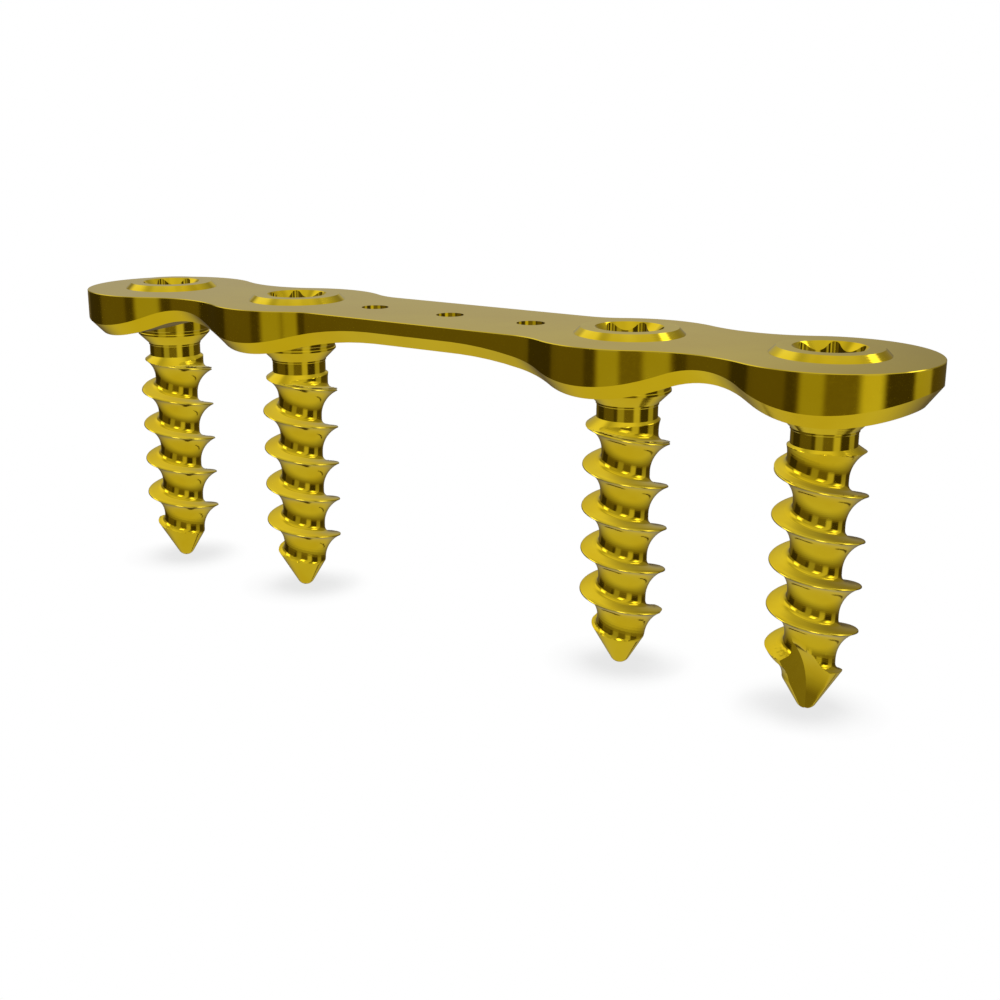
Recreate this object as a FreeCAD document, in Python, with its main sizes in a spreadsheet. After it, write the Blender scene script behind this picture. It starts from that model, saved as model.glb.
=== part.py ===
import FreeCAD, Part
import math
import os
import Sketcher
from FreeCAD import Placement, Rotation, Vector

# Driving dimensions in millimetres and degrees.
SIZES = {
    # Plate outline, seen from above: four lobes in a row, joined by a waist and two necks.
    "inner_screw_offset": 6.70,
    "outer_screw_offset": 13.03,
    "lobe_radius": 3.11,
    "neck_radius": 3.50,
    "waist_half_width": 2.33,
    "waist_fillet": 2.14,
    # Plate section along its length: thin web and necks, thick crests near the screws.
    "web_thickness": 0.87,
    "web_half_length": 1.55,
    "crest_thickness": 1.57,
    "crest_radius": 6.08,
    "outer_crest_shift": 0.79,
    "edge_chamfer": 0.44,
    # Three small holes through the web.
    "small_hole_pitch": 3.15,
    "small_hole_diameter": 0.92,
    # Screw head, whose cone seats in a countersink of the plate.
    "head_radius": 1.70,
    "head_face_radius": 1.50,
    "head_rise": 0.20,
    "seat_depth": 0.40,
    "collar_radius": 1.34,
    "collar_bottom": 1.74,
    "seat_clearance": 0.03,
    # Driver socket: a countersink and a star of six splines.
    "socket_mouth_radius": 1.06,
    "socket_ridge_radius": 0.72,
    "socket_ridge_half_angle": 13,
    "socket_spline_radius": 1.00,
    "socket_spline_half_angle": 8,
    "socket_depth": 1.10,
    "socket_turn": 13,
    # Screw neck, thread and tip.
    "neck_shank_radius": 0.95,
    "thread_start": 2.58,
    "start_chamfer": 0.28,
    "thread_radius": 1.35,
    "core_radius": 0.76,
    "thread_pitch": 1.3635,
    "first_crest": 2.636,
    "first_crest_angle": 229.3,
    "crest_land": 0.04,
    "flank_knee_radius": 0.93,
    "flank_knee_depth": 0.42,
    "upper_flank_drop": 0.10,
    "run_out_angle": 19,
    "run_out_turns": 0.75,
    "screw_length": 10.70,
    "tip_half_angle": 30.5,
    "tip_radius": 0.335,
    # Cutting flute: one quarter of the tip milled away, with a round run-out.
    "flute_angle": 97,
    "flute_web": 0.04,
    "flute_cutter_radius": 2.51,
    "flute_run_out": 10.18,
    # Turn of each screw about its own axis.
    "outer_left_turn": 26.3,
    "inner_left_turn": 0,
    "inner_right_turn": -37.6,
    "outer_right_turn": 151,
}
WINDS = 5
OVERRUN = 0.03
CLEAR = 1.0

doc = FreeCAD.newDocument("BonePlate")
sheet = doc.addObject("Spreadsheet::Sheet", "Sizes")
for row, (alias, value) in enumerate(SIZES.items(), start=1):
    sheet.set(f"A{row}", alias)
    sheet.set(f"B{row}", str(value))
    sheet.setAlias(f"B{row}", alias)
doc.recompute()


def size(expression):
    """The number that an expression of the sheet's sizes gives now."""
    return float(sheet.evalExpression(expression))


def new_body(label):
    body = doc.addObject("PartDesign::Body", label)
    body.Label = label
    return body


def new_sketch(body, name, role):
    """An empty sketch on one of the body's own origin planes."""
    plane = next(part for part in body.Origin.OriginFeatures if part.Role == role)
    sketch = body.newObject("Sketcher::SketchObject", name)
    sketch.AttachmentSupport = [(plane, "")]
    sketch.MapMode = "FlatFace"
    return sketch


def turn_about_axis(sketch, angle):
    """Turns an upright sketch about the body's own vertical axis."""
    sketch.AttachmentOffset = Placement(Vector(), Rotation(Vector(0, 1, 0), 1))
    sketch.setExpression(".AttachmentOffset.Rotation.Angle", angle)


def bind(sketch, kind, where, expression):
    """Adds one dimension to a sketch and ties it to the sheet."""
    number = sketch.addConstraint(Sketcher.Constraint(kind, *where, size(expression)))
    sketch.setExpression(f"Constraints[{number}]", expression)


def join(sketch, kind, *where):
    sketch.addConstraint(Sketcher.Constraint(kind, *where))


def place(sketch, edge, point, across, up):
    """Ties one point of an edge to its two coordinates, which are expressions."""
    bind(sketch, "DistanceX", (edge, point), across)
    bind(sketch, "DistanceY", (edge, point), up)


def add_polygon(sketch, corners):
    """A closed outline of straight edges, with each corner a pair of expressions."""
    points = [Vector(size(across), size(up), 0) for across, up in corners]
    for start, end in zip(points, points[1:] + points[:1]):
        sketch.addGeometry(Part.LineSegment(start, end), False)
    for edge, (across, up) in enumerate(corners):
        join(sketch, "Coincident", (edge - 1) % len(corners), 2, edge, 1)
        place(sketch, edge, 1, across, up)


def add_arc(sketch, centre, radius, start, end):
    """An arc counterclockwise from one angle to another, both in degrees."""
    circle = Part.Circle(Vector(*centre, 0), Vector(0, 0, 1), radius)
    arc = Part.ArcOfCircle(circle, math.radians(start), math.radians(end))
    return sketch.addGeometry(arc, False)


def add_feature(body, kind, name, sketch):
    feature = body.newObject(kind, name)
    feature.Profile = sketch
    return feature


def revolve(body, kind, name, sketch):
    feature = add_feature(body, kind, name, sketch)
    feature.ReferenceAxis = (sketch, ["V_Axis"])
    feature.Angle = 360
    return feature


def plate_outline(body):
    """Four lobes on one line, joined by two necks and a straight waist."""
    sketch = new_sketch(body, "Outline", "XY_Plane")
    inner = size("Sizes.inner_screw_offset")
    outer = size("Sizes.outer_screw_offset")
    lobe = size("Sizes.lobe_radius")
    neck = size("Sizes.neck_radius")
    waist = size("Sizes.waist_half_width")
    fillet = size("Sizes.waist_fillet")
    half_gap = (outer - inner) / 2
    neck_up = math.sqrt((lobe + neck) ** 2 - half_gap**2)
    fillet_back = math.sqrt((lobe + fillet) ** 2 - (waist + fillet) ** 2)
    neck_tilt = math.degrees(math.atan2(neck_up, half_gap))
    fillet_tilt = math.degrees(math.atan2(waist + fillet, fillet_back))

    def corner_arc(centre, radius, start, end, side, half):
        """An arc of the right upper quarter, mirrored to the quarter asked for."""
        if side < 0:
            start, end = 180 - end, 180 - start
        if half < 0:
            start, end = -end, -start
        return add_arc(sketch, (side * centre[0], half * centre[1]), radius, start, end)

    ends = {}
    for side in (1, -1):
        turn = 180 - neck_tilt
        ends[side] = corner_arc((outer, 0), lobe, -turn, turn, side, 1)
        join(sketch, "PointOnObject", ends[side], 3, -1)
        bind(sketch, "DistanceX", (ends[side], 3), f"{side} * Sizes.outer_screw_offset")
        bind(sketch, "Radius", (ends[side],), "Sizes.lobe_radius")
    for half in (1, -1):
        start = Vector(inner - fillet_back, half * waist, 0)
        end = Vector(fillet_back - inner, half * waist, 0)
        edge = sketch.addGeometry(Part.LineSegment(start, end), False)
        join(sketch, "Horizontal", edge)
        bind(sketch, "DistanceY", (edge, 1), f"{half} * Sizes.waist_half_width")
        for side in (1, -1):
            first, last = (1, 2) if side * half > 0 else (2, 1)
            quarter = (side, half)
            mid = (inner + outer) / 2
            neck_arc = corner_arc((mid, neck_up), neck, 180 + neck_tilt, 360 - neck_tilt, *quarter)
            lobe_arc = corner_arc((inner, 0), lobe, neck_tilt, 180 - fillet_tilt, *quarter)
            fillet_centre = (inner - fillet_back, waist + fillet)
            fillet_arc = corner_arc(fillet_centre, fillet, 270, 360 - fillet_tilt, *quarter)
            join(sketch, "PointOnObject", lobe_arc, 3, -1)
            bind(sketch, "DistanceX", (lobe_arc, 3), f"{side} * Sizes.inner_screw_offset")
            bind(sketch, "Radius", (lobe_arc,), "Sizes.lobe_radius")
            bind(sketch, "Radius", (neck_arc,), "Sizes.neck_radius")
            bind(sketch, "Radius", (fillet_arc,), "Sizes.waist_fillet")
            join(sketch, "Tangent", ends[side], last, neck_arc, last)
            join(sketch, "Tangent", neck_arc, first, lobe_arc, first)
            join(sketch, "Tangent", lobe_arc, last, fillet_arc, last)
            join(sketch, "Tangent", fillet_arc, first, edge, 1 if side > 0 else 2)
    return sketch


RISE = "(Sizes.crest_thickness - Sizes.web_thickness)"
OUTER_CREST = "(Sizes.outer_screw_offset + Sizes.outer_crest_shift)"
CREST_UP = "(Sizes.crest_radius - Sizes.crest_thickness)"
NECK_SPAN = f"(({OUTER_CREST} - Sizes.inner_screw_offset) / 2)"
NECK_ARCH = f"({NECK_SPAN}^2 + {RISE}^2) / (2 * {RISE}) - Sizes.crest_radius"
PLATE_END = "(Sizes.outer_screw_offset + Sizes.lobe_radius)"


def underside_profile(body):
    """What is cut away below the plate: arches between rounded crests."""
    sketch = new_sketch(body, "Underside", "XZ_Plane")
    inner = size("Sizes.inner_screw_offset")
    outer = size(OUTER_CREST)
    web = size("Sizes.web_thickness")
    half_web = size("Sizes.web_half_length")
    rise = size(RISE)
    crest = size("Sizes.crest_radius")
    crest_up = size(CREST_UP)
    span = size(NECK_SPAN)
    arch = size(NECK_ARCH)
    waist_span = inner - half_web
    waist_arch = (waist_span**2 + rise**2) / (2 * rise) - crest
    waist_tilt = math.degrees(math.atan2(crest_up + web + waist_arch, waist_span))
    neck_tilt = math.degrees(math.atan2(crest_up + web + arch, span))
    end = size(PLATE_END) + CLEAR
    floor = -size("Sizes.crest_thickness") - CLEAR
    end_angle = 270 + math.degrees(math.asin((end - outer) / crest))
    end_up = crest_up + crest * math.sin(math.radians(end_angle))

    def side_arc(centre, radius, start, finish, side):
        if side < 0:
            start, finish = 180 - finish, 180 - start
        return add_arc(sketch, (side * centre[0], centre[1]), radius, start, finish)

    web_line = Part.LineSegment(Vector(half_web, -web, 0), Vector(-half_web, -web, 0))
    top = sketch.addGeometry(web_line, False)
    floor_line = Part.LineSegment(Vector(end, floor, 0), Vector(-end, floor, 0))
    bottom = sketch.addGeometry(floor_line, False)
    for side in (1, -1):
        first, last = (1, 2) if side > 0 else (2, 1)
        waist_centre = (half_web, -web - waist_arch)
        waist_arc = side_arc(waist_centre, waist_arch, waist_tilt, 90, side)
        inner_arc = side_arc((inner, crest_up), crest, waist_tilt + 180, 360 - neck_tilt, side)
        neck_centre = ((inner + outer) / 2, -web - arch)
        neck_arc = side_arc(neck_centre, arch, neck_tilt, 180 - neck_tilt, side)
        outer_arc = side_arc((outer, crest_up), crest, 180 + neck_tilt, end_angle, side)
        up_line = Part.LineSegment(Vector(side * end, end_up, 0), Vector(side * end, floor, 0))
        wall = sketch.addGeometry(up_line, False)
        join(sketch, "Tangent", top, first, waist_arc, last)
        join(sketch, "Tangent", waist_arc, first, inner_arc, first)
        join(sketch, "Tangent", inner_arc, last, neck_arc, last)
        join(sketch, "Tangent", neck_arc, first, outer_arc, first)
        join(sketch, "Coincident", outer_arc, last, wall, 1)
        join(sketch, "Coincident", wall, 2, bottom, first)
        place(sketch, top, first, f"{side} * Sizes.web_half_length", "-Sizes.web_thickness")
        place(sketch, inner_arc, 3, f"{side} * Sizes.inner_screw_offset", CREST_UP)
        place(sketch, outer_arc, 3, f"{side} * {OUTER_CREST}", CREST_UP)
        bind(sketch, "Radius", (inner_arc,), "Sizes.crest_radius")
        bind(sketch, "Radius", (outer_arc,), "Sizes.crest_radius")
        bind(sketch, "Radius", (neck_arc,), NECK_ARCH)
        bind(sketch, "DistanceX", (wall, 1), f"{side} * ({PLATE_END} + {CLEAR})")
        across = f"{side} * ({PLATE_END} + {CLEAR})"
        place(sketch, bottom, first, across, f"-Sizes.crest_thickness - {CLEAR}")
    return sketch


def bottom_edges(shape):
    """The names of the edges where the plate's side walls meet its underside."""

    def is_wall(face):
        return abs(face.normalAt(*face.Surface.parameter(face.CenterOfMass)).z) < 1e-6

    names = []
    for number, edge in enumerate(shape.Edges, start=1):
        walls = [is_wall(face) for face in shape.ancestorsOfType(edge, Part.Face)]
        if walls.count(True) == 1 and edge.BoundBox.ZMax < -1e-3:
            names.append(f"Edge{number}")
    return names


def make_plate():
    body = new_body("bone_plate")
    blank = add_feature(body, "PartDesign::Pad", "Blank", plate_outline(body))
    blank.Reversed = True
    blank.setExpression("Length", "Sizes.crest_thickness")
    arches = add_feature(body, "PartDesign::Pocket", "Arches", underside_profile(body))
    arches.Type = "ThroughAll"
    arches.Midplane = True
    doc.recompute()
    chamfer = body.newObject("PartDesign::Chamfer", "EdgeChamfer")
    chamfer.Base = (arches, bottom_edges(arches.Shape))
    chamfer.setExpression("Size", "Sizes.edge_chamfer")
    doc.recompute()
    for label, (across, _) in SCREWS.items():
        sketch = new_sketch(body, "Seat_" + label, "XZ_Plane")
        sketch.setExpression(".AttachmentOffset.Base.x", across)
        bore = "Sizes.collar_radius + Sizes.seat_clearance"
        mouth = "Sizes.head_radius + Sizes.seat_clearance"
        floor = f"-Sizes.crest_thickness - {CLEAR}"
        corners = [
            ("0", f"{CLEAR}"),
            (mouth, f"{CLEAR}"),
            (mouth, "0"),
            (bore, "-Sizes.seat_depth"),
            (bore, floor),
            ("0", floor),
        ]
        add_polygon(sketch, corners)
        revolve(body, "PartDesign::Groove", "Hole_" + label, sketch)
    sketch = new_sketch(body, "SmallHoles", "XY_Plane")
    for step in (-1, 0, 1):
        centre = Vector(step * size("Sizes.small_hole_pitch"), 0, 0)
        radius = size("Sizes.small_hole_diameter / 2")
        circle = sketch.addGeometry(Part.Circle(centre, Vector(0, 0, 1), radius), False)
        bind(sketch, "Radius", (circle,), "Sizes.small_hole_diameter / 2")
        join(sketch, "PointOnObject", circle, 3, -1)
        bind(sketch, "DistanceX", (circle, 3), f"{step} * Sizes.small_hole_pitch")
    holes = add_feature(body, "PartDesign::Pocket", "SmallHoles", sketch)
    holes.Type = "ThroughAll"
    return body


TIP_SIDE = "(Sizes.tip_radius * cos(Sizes.tip_half_angle))"
TIP_UP = "(Sizes.screw_length - Sizes.tip_radius * (1 - sin(Sizes.tip_half_angle)))"
CONE_HEIGHT = f"((Sizes.thread_radius - {TIP_SIDE}) / tan(Sizes.tip_half_angle))"


def screw_blank(body):
    """Half of the turned screw: head, collar, neck, thread crest and rounded tip."""
    sketch = new_sketch(body, "Blank", "XZ_Plane")
    ledge = "Sizes.head_rise - (Sizes.socket_mouth_radius - Sizes.socket_ridge_radius)"
    collar_cone = "(Sizes.collar_radius - Sizes.neck_shank_radius)"
    corners = [
        ("0", ledge),
        ("Sizes.socket_ridge_radius", ledge),
        ("Sizes.socket_mouth_radius", "Sizes.head_rise"),
        ("Sizes.head_face_radius", "Sizes.head_rise"),
        ("Sizes.head_radius", "0"),
        ("Sizes.collar_radius", "-Sizes.seat_depth"),
        ("Sizes.collar_radius", "-Sizes.collar_bottom"),
        ("Sizes.neck_shank_radius", f"-Sizes.collar_bottom - {collar_cone}"),
        ("Sizes.neck_shank_radius", "-Sizes.thread_start"),
        ("Sizes.thread_radius", "-Sizes.thread_start - Sizes.start_chamfer"),
        ("Sizes.thread_radius", f"-{TIP_UP} + {CONE_HEIGHT}"),
        (TIP_SIDE, f"-{TIP_UP}"),
        ("0", "-Sizes.screw_length"),
    ]
    add_polygon(sketch, corners)
    return sketch


def thread_profile(body):
    """The space between two crests: a steep upper flank, a hollow lower one, a core."""
    sketch = new_sketch(body, "ThreadSpace", "XZ_Plane")
    turn_about_axis(sketch, "Sizes.first_crest_angle")
    crest = "-Sizes.first_crest - Sizes.thread_pitch"
    top = "(-Sizes.first_crest - Sizes.crest_land)"
    out = f"Sizes.thread_radius + {OVERRUN}"
    lower = "Sizes.flank_knee_depth / (Sizes.thread_radius - Sizes.flank_knee_radius)"
    upper = "Sizes.upper_flank_drop / (Sizes.thread_radius - Sizes.core_radius)"
    corners = [
        (out, f"{top} + {OVERRUN} * {lower}"),
        ("Sizes.flank_knee_radius", f"{top} - Sizes.flank_knee_depth"),
        ("Sizes.core_radius", f"{crest} + Sizes.upper_flank_drop"),
        (out, f"{crest} - {OVERRUN} * {upper}"),
    ]
    add_polygon(sketch, corners)
    return sketch


def cut_thread(body):
    """A left-handed groove, whose first turn climbs out of the core to the neck."""
    profile = thread_profile(body)
    for name, turns in (("RunOut", "Sizes.run_out_turns"), ("Thread", f"{WINDS}")):
        helix = add_feature(body, "PartDesign::SubtractiveHelix", name, profile)
        helix.ReferenceAxis = (profile, ["V_Axis"])
        helix.Mode = 0
        helix.LeftHanded = True
        helix.setExpression("Pitch", "Sizes.thread_pitch")
        helix.setExpression("Height", f"Sizes.thread_pitch * {turns}")
        if name == "RunOut":
            helix.setExpression("Angle", "Sizes.run_out_angle")
        else:
            helix.Reversed = True


def cut_socket(body):
    """A countersunk driver socket: a star of six splines between six ridges."""
    sketch = new_sketch(body, "SocketStar", "XY_Plane")
    sketch.setExpression(".AttachmentOffset.Base.z", "Sizes.head_rise")
    corners = []
    for step in range(6):
        spline = f"Sizes.socket_turn + {60 * step}"
        ridge = f"{spline} + 30"
        turns = [
            ("Sizes.socket_spline_radius", f"{spline} - Sizes.socket_spline_half_angle"),
            ("Sizes.socket_spline_radius", f"{spline} + Sizes.socket_spline_half_angle"),
            ("Sizes.socket_ridge_radius", f"{ridge} - Sizes.socket_ridge_half_angle"),
            ("Sizes.socket_ridge_radius", f"{ridge} + Sizes.socket_ridge_half_angle"),
        ]
        corners += [(f"{reach} * cos({turn})", f"{reach} * sin({turn})") for reach, turn in turns]
    add_polygon(sketch, corners)
    pocket = add_feature(body, "PartDesign::Pocket", "Socket", sketch)
    pocket.setExpression("Length", "Sizes.socket_depth")


def cut_flute(body):
    """One quarter of the tip, from a web beside the axis to a round run-out above."""
    sketch = new_sketch(body, "FluteSide", "XZ_Plane")
    turn_about_axis(sketch, "Sizes.flute_angle")
    web = size("Sizes.flute_web")
    cutter = size("Sizes.flute_cutter_radius")
    start = -size("Sizes.flute_run_out")
    low = -size("Sizes.screw_length") - CLEAR
    out = size("Sizes.thread_radius") + OVERRUN * 2
    rise = math.degrees(math.acos((web + cutter - out) / cutter))
    high = start + cutter * math.sin(math.radians(rise))
    floor = sketch.addGeometry(Part.LineSegment(Vector(web, low, 0), Vector(out, low, 0)), False)
    back = sketch.addGeometry(Part.LineSegment(Vector(out, low, 0), Vector(out, high, 0)), False)
    run_out = add_arc(sketch, (web + cutter, start), cutter, 180 - rise, 180)
    front = sketch.addGeometry(Part.LineSegment(Vector(web, start, 0), Vector(web, low, 0)), False)
    join(sketch, "Coincident", floor, 1, front, 2)
    join(sketch, "Coincident", floor, 2, back, 1)
    join(sketch, "Coincident", back, 2, run_out, 1)
    join(sketch, "Tangent", run_out, 2, front, 1)
    join(sketch, "Horizontal", floor)
    join(sketch, "Vertical", back)
    join(sketch, "Vertical", front)
    place(sketch, floor, 1, "Sizes.flute_web", f"-Sizes.screw_length - {CLEAR}")
    bind(sketch, "DistanceX", (back, 1), f"Sizes.thread_radius + {OVERRUN * 2}")
    bind(sketch, "Radius", (run_out,), "Sizes.flute_cutter_radius")
    bind(sketch, "DistanceY", (front, 1), "-Sizes.flute_run_out")
    flute = add_feature(body, "PartDesign::Pocket", "Flute", sketch)
    flute.Type = "ThroughAll"


def make_screw(label, across, turn):
    body = new_body(label)
    revolve(body, "PartDesign::Revolution", "Turned", screw_blank(body))
    doc.recompute()
    cut_flute(body)
    cut_socket(body)
    cut_thread(body)
    body.Placement = Placement(Vector(), Rotation(Vector(0, 0, 1), 1))
    body.setExpression(".Placement.Base.x", across)
    body.setExpression(".Placement.Rotation.Angle", turn)
    return body


SCREWS = {
    "bone_screw_outer_left": ("-Sizes.outer_screw_offset", "Sizes.outer_left_turn"),
    "bone_screw_inner_left": ("-Sizes.inner_screw_offset", "Sizes.inner_left_turn"),
    "bone_screw_inner_right": ("Sizes.inner_screw_offset", "Sizes.inner_right_turn"),
    "bone_screw_outer_right": ("Sizes.outer_screw_offset", "Sizes.outer_right_turn"),
}

pieces = [make_plate()]
for label, (across, turn) in SCREWS.items():
    pieces.append(make_screw(label, across, turn))
doc.recompute()

for item in doc.Objects:
    if "Invalid" in item.State or "Error" in item.State:
        raise RuntimeError(f"{item.Label} did not compute")
os.makedirs("parts", exist_ok=True)
for piece in pieces:
    if piece.Shape.isNull() or not piece.Shape.isValid():
        raise RuntimeError(f"{piece.Label} has no valid shape")
    piece.Shape.exportStep(f"parts/{piece.Label}.step")
    print(piece.Label, round(piece.Shape.Volume, 4))
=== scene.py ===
import math

import bmesh
import bpy
import numpy as np
from mathutils import Matrix, Vector
from mathutils.geometry import delaunay_2d_cdt


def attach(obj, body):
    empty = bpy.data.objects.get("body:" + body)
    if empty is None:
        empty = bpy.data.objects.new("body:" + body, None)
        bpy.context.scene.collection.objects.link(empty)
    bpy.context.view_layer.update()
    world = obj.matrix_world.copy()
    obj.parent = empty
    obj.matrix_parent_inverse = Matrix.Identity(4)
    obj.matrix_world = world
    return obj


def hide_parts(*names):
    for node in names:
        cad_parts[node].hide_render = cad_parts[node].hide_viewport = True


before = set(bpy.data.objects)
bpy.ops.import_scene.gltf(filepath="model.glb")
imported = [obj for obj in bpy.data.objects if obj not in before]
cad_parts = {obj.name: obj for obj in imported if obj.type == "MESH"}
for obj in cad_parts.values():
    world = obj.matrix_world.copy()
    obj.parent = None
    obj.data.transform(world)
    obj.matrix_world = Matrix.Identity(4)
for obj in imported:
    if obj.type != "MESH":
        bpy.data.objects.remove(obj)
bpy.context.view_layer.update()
millimetre = 0.001  # every length below is in millimetres, and every mesh in metres
print("frame loaded:", len(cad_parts), "nodes")

meshSizes = {
    "mergeWithin": 0.0003,
    "shortestEdge": 0.0001,
    "sharpAngle": 30,  # degrees between two faces past which their edge is a crease
}


def gridFaces(rows, columns):
    # Quads between each row of a grid and the next, and each column and the next.
    corner = np.arange(rows * columns).reshape(rows, columns)
    first, second = corner[:-1, :-1], corner[:-1, 1:]
    third, fourth = corner[1:, 1:], corner[1:, :-1]
    return np.stack([first, second, third, fourth], -1).reshape(-1, 4)


def ease(value, start, end):
    # Goes from 0 to 1 between two values as three squares less two cubes of the share of the way.
    share = np.clip((value - start) / max(end - start, 1e-6), 0, 1)
    return share**2 * (3 - 2 * share)


def makePiece(name, points, faces, wearAndSheen):
    # A mesh from points in millimetres, with its doubled points merged and its creases kept sharp,
    # and how far each point stands out on an edge whose film is thinned pale by wear, which also paints
    # a highlight line there, from 0 to 1.
    mesh = bpy.data.meshes.new(name)
    mesh.from_pydata((np.asarray(points) * millimetre).tolist(), [], faces)
    mesh.attributes.new("wearAndSheen", "FLOAT", "POINT").data.foreach_set("value", wearAndSheen)
    made = bmesh.new()
    made.from_mesh(mesh)
    bmesh.ops.remove_doubles(made, verts=made.verts, dist=meshSizes["mergeWithin"] * millimetre)
    shortest = meshSizes["shortestEdge"] * millimetre
    bmesh.ops.dissolve_degenerate(made, edges=made.edges, dist=shortest)
    bmesh.ops.recalc_face_normals(made, faces=made.faces)
    made.to_mesh(mesh)
    made.free()
    mesh.polygons.foreach_set("use_smooth", np.ones(len(mesh.polygons), bool))
    mesh.set_sharp_from_angle(angle=math.radians(meshSizes["sharpAngle"]))
    piece = bpy.data.objects.new(name, mesh)
    bpy.context.scene.collection.objects.link(piece)
    return piece


screwSizes = {
    # head, with its flat face 0.2 above the plate's
    "headRadius": 1.70,
    "faceRadius": 1.50,
    "faceRing": 1.25,
    "headRise": 0.20,
    "seatDepth": 0.40,
    # driver socket
    "mouthRadius": 1.064,
    "lobes": 6,
    "ridgeRadius": 0.82,
    "lobeCentre": 0.855,
    "lobeRadius": 0.19,
    "socketDepth": 1.10,
    "socketTurn": 13,
    # collar with a fine groove, and the cone and the step to the neck
    "collarRadius": 1.34,
    "collarBottom": 1.742,
    "grooveTop": 1.55,
    "grooveBottom": 1.68,
    "grooveDepth": 0.03,
    "grooveSlant": 0.02,
    "coneRings": (0.14, 0.26),
    "stepRadius": 0.976,
    "stepHeight": 0.05,
    "stepSlant": 0.025,
    "neckRadius": 0.95,
    # thread
    "threadStart": 2.58,
    "startChamfer": 0.276,
    "crestRadius": 1.35,
    "coreRadius": 0.761,
    "pitch": 1.3635,
    "firstCrest": 2.636,
    "firstAngle": 229.3,
    "land": 0.006,
    "crestRound": 0.048,
    "hollow": 0.90,
    "upperDrop": 0.10,
    "rootFillet": 0.19,
    "runOut": 0.486,
    "winds": 9,
    "windsAbove": 2,
    "leadIn": 0.2,  # how far above the thread's start its rows begin
    # tip
    "length": 10.703,
    "tipAngle": 30.5,
    "tipRadius": 0.335,
    # cutting flute
    "fluteAngle": 97,
    "fluteSpan": 90,
    "fluteWeb": 0.04,
    "fluteRadius": 2.51,
    "fluteStart": 10.18,
    "uncutReach": 99.0,  # past all metal
    # rows and columns of points
    "columns": 241,
    "fluteColumns": 121,
    "wallRows": 5,
    "sinkShares": (0.33, 0.67, 1),
    "crestRows": 5,
    "hollowRows": 12,
    "filletRows": 7,
    "flankRows": 6,
    "neckRows": (-0.03, 0.01),
    "chamferRows": 15,
    "firstRows": (0.02, 0.04, 0.07),
    "coneRows": 26,
    "coneReach": 0.95,
    "ballRows": 10,
    # where the film wears pale at the edges, which also paints a highlight line along them
    "wearAndSheenDepth": 0.05,
    "faceWearAndSheen": 0.5,
    # each screw's place along the plate, and how far it is turned about its axis
    "places": {
        "bone_screw_outer_left": (-13.03, 26.3),
        "bone_screw_inner_left": (-6.70, 0.0),
        "bone_screw_inner_right": (6.70, -37.6),
        "bone_screw_outer_right": (13.03, 151.0),
    },
}


def threadSpace(sizes):
    # One pitch in an axial section, as depth below a crest and radius: a rounded crest with a narrow
    # land, a wide round hollow in to the core, the straight core, a small fillet, and the straight
    # flank to the next crest. A round stretch follows its circle's sine and cosine.
    core, crest, rounding = sizes["coreRadius"], sizes["crestRadius"], sizes["crestRound"]
    reach = crest - core
    bend = (reach**2 + sizes["hollow"] ** 2) / (2 * reach)
    turn = np.linspace(math.asin(1 - reach / bend), math.pi / 2, sizes["hollowRows"])
    curl = np.linspace(0, math.pi / 2, sizes["crestRows"])
    crestDepth = rounding * (1 - np.cos(curl))
    crestReach = crest - rounding * (1 - np.sin(curl))
    hollowDepth = rounding + sizes["land"] + sizes["hollow"] - bend * np.cos(turn)
    hollowRadius = core + bend * (1 - np.sin(turn))
    slope = sizes["upperDrop"] / reach
    lean = math.atan(slope)
    fillet = sizes["rootFillet"]
    filletOut = core + fillet
    filletDown = sizes["pitch"] - slope * (crest - filletOut) - fillet / math.cos(lean)
    sweep = np.linspace(0, math.pi / 2 + lean, sizes["filletRows"])
    filletRadius = filletOut - fillet * np.cos(sweep)
    filletDepth = filletDown + fillet * np.sin(sweep)
    flankRadius = np.linspace(filletRadius[-1], crestReach[0], sizes["flankRows"])[1:-1]
    flankDepth = sizes["pitch"] - slope * (crest - flankRadius)
    coreDepth = (hollowDepth[-1] + filletDown) / 2
    depth = np.concatenate([crestDepth, hollowDepth, [coreDepth], filletDepth, flankDepth])
    radius = np.concatenate([crestReach, hollowRadius, [core], filletRadius, flankRadius])
    return depth, radius


def starRadius(angle, sizes):
    # The lobed socket's radius at an angle: the far side of a lobe's circle, or the near side of the
    # circle of the ridge between two lobes, whichever side of their common tangent point the angle is
    # on. A side is the distance to the circle's centre times the cosine of the angle from it, plus or
    # minus the root of the circle's radius squared less that distance times the sine, squared.
    lobe, ridge, far = sizes["lobeRadius"], sizes["ridgeRadius"], sizes["lobeCentre"]
    half = 180 / sizes["lobes"]
    slant = math.cos(math.radians(half))
    ridgeSpace = far**2 + ridge**2 - 2 * far * ridge * slant - lobe**2
    arc = ridgeSpace / (2 * (lobe + far * slant - ridge))
    middle = ridge + arc
    ridgeCentre = middle * np.array([slant, math.sin(math.radians(half))])
    lobeCentre = np.array([far, 0.0])
    touch = lobeCentre + (ridgeCentre - lobeCentre) * lobe / (lobe + arc)
    change = math.degrees(math.atan2(touch[1], touch[0]))
    off = np.abs((angle - sizes["socketTurn"] + half) % (2 * half) - half)
    near = np.radians(np.minimum(off, change))
    away = np.radians(half - np.maximum(off, change))
    outside = far * np.cos(near) + np.sqrt(lobe**2 - (far * np.sin(near)) ** 2)
    inside = middle * np.cos(away) - np.sqrt(arc**2 - (middle * np.sin(away)) ** 2)
    return np.where(off < change, outside, inside)


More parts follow.
